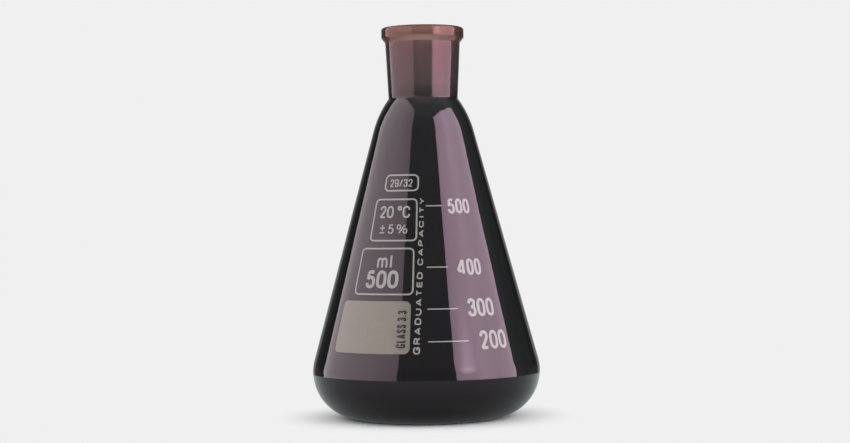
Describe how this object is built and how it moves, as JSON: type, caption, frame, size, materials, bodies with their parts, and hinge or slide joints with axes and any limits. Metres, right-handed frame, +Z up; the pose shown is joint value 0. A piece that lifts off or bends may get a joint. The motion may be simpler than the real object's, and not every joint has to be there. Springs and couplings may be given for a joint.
{
  "type": "erlenmeyer flask",
  "caption": "Conical laboratory flask in dark amber glass with a tapered ground-glass neck socket, a thickened rim collar and fired-on volume marks.",
  "frame": {"origin": "centre of the base, on the plane of the standing ring", "axes": "+Z up the flask's axis to the mouth; -Y is the front, the side with the printed marks; +X to the right when the front is seen"},
  "size_m": [0.105, 0.105, 0.18],
  "materials": {
    "amber_glass": "polished outside, ground matt inside the neck socket"
  },
  "bodies": {
    "root": {"flask": "amber_glass"}
  },
  "joints": []
}
